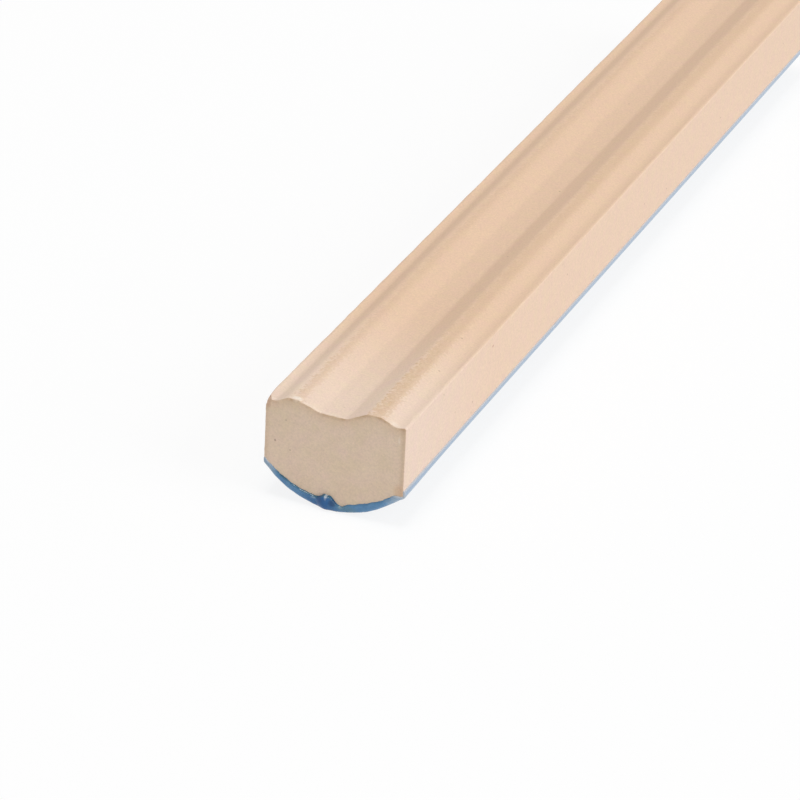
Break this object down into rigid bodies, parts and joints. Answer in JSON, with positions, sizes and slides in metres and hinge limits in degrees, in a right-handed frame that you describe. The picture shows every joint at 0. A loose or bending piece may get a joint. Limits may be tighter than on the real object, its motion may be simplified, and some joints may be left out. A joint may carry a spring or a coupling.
{
  "type": "quarter round trim tile",
  "caption": "Ceramic trim bar with a domed, glazed face, flat sides, square ends and a bare back with broad ribs that key into the bed.",
  "frame": {"origin": "under the middle of the bar, at the lowest point of its glazed dome", "axes": "+Y along the bar, away from the end with the glaze run; +Z from the glazed face to the ribbed back; +X across the bar"},
  "size_m": [0.0188, 0.1524, 0.0144],
  "materials": {
    "bisque": "bare fired clay, cream to pinkish buff, matt and finely granular",
    "blue_glaze": "cobalt blue glaze, glossy, pooled darker at its edges"
  },
  "bodies": {
    "root": {"quarter_round_tile": "bisque"}
  },
  "joints": []
}
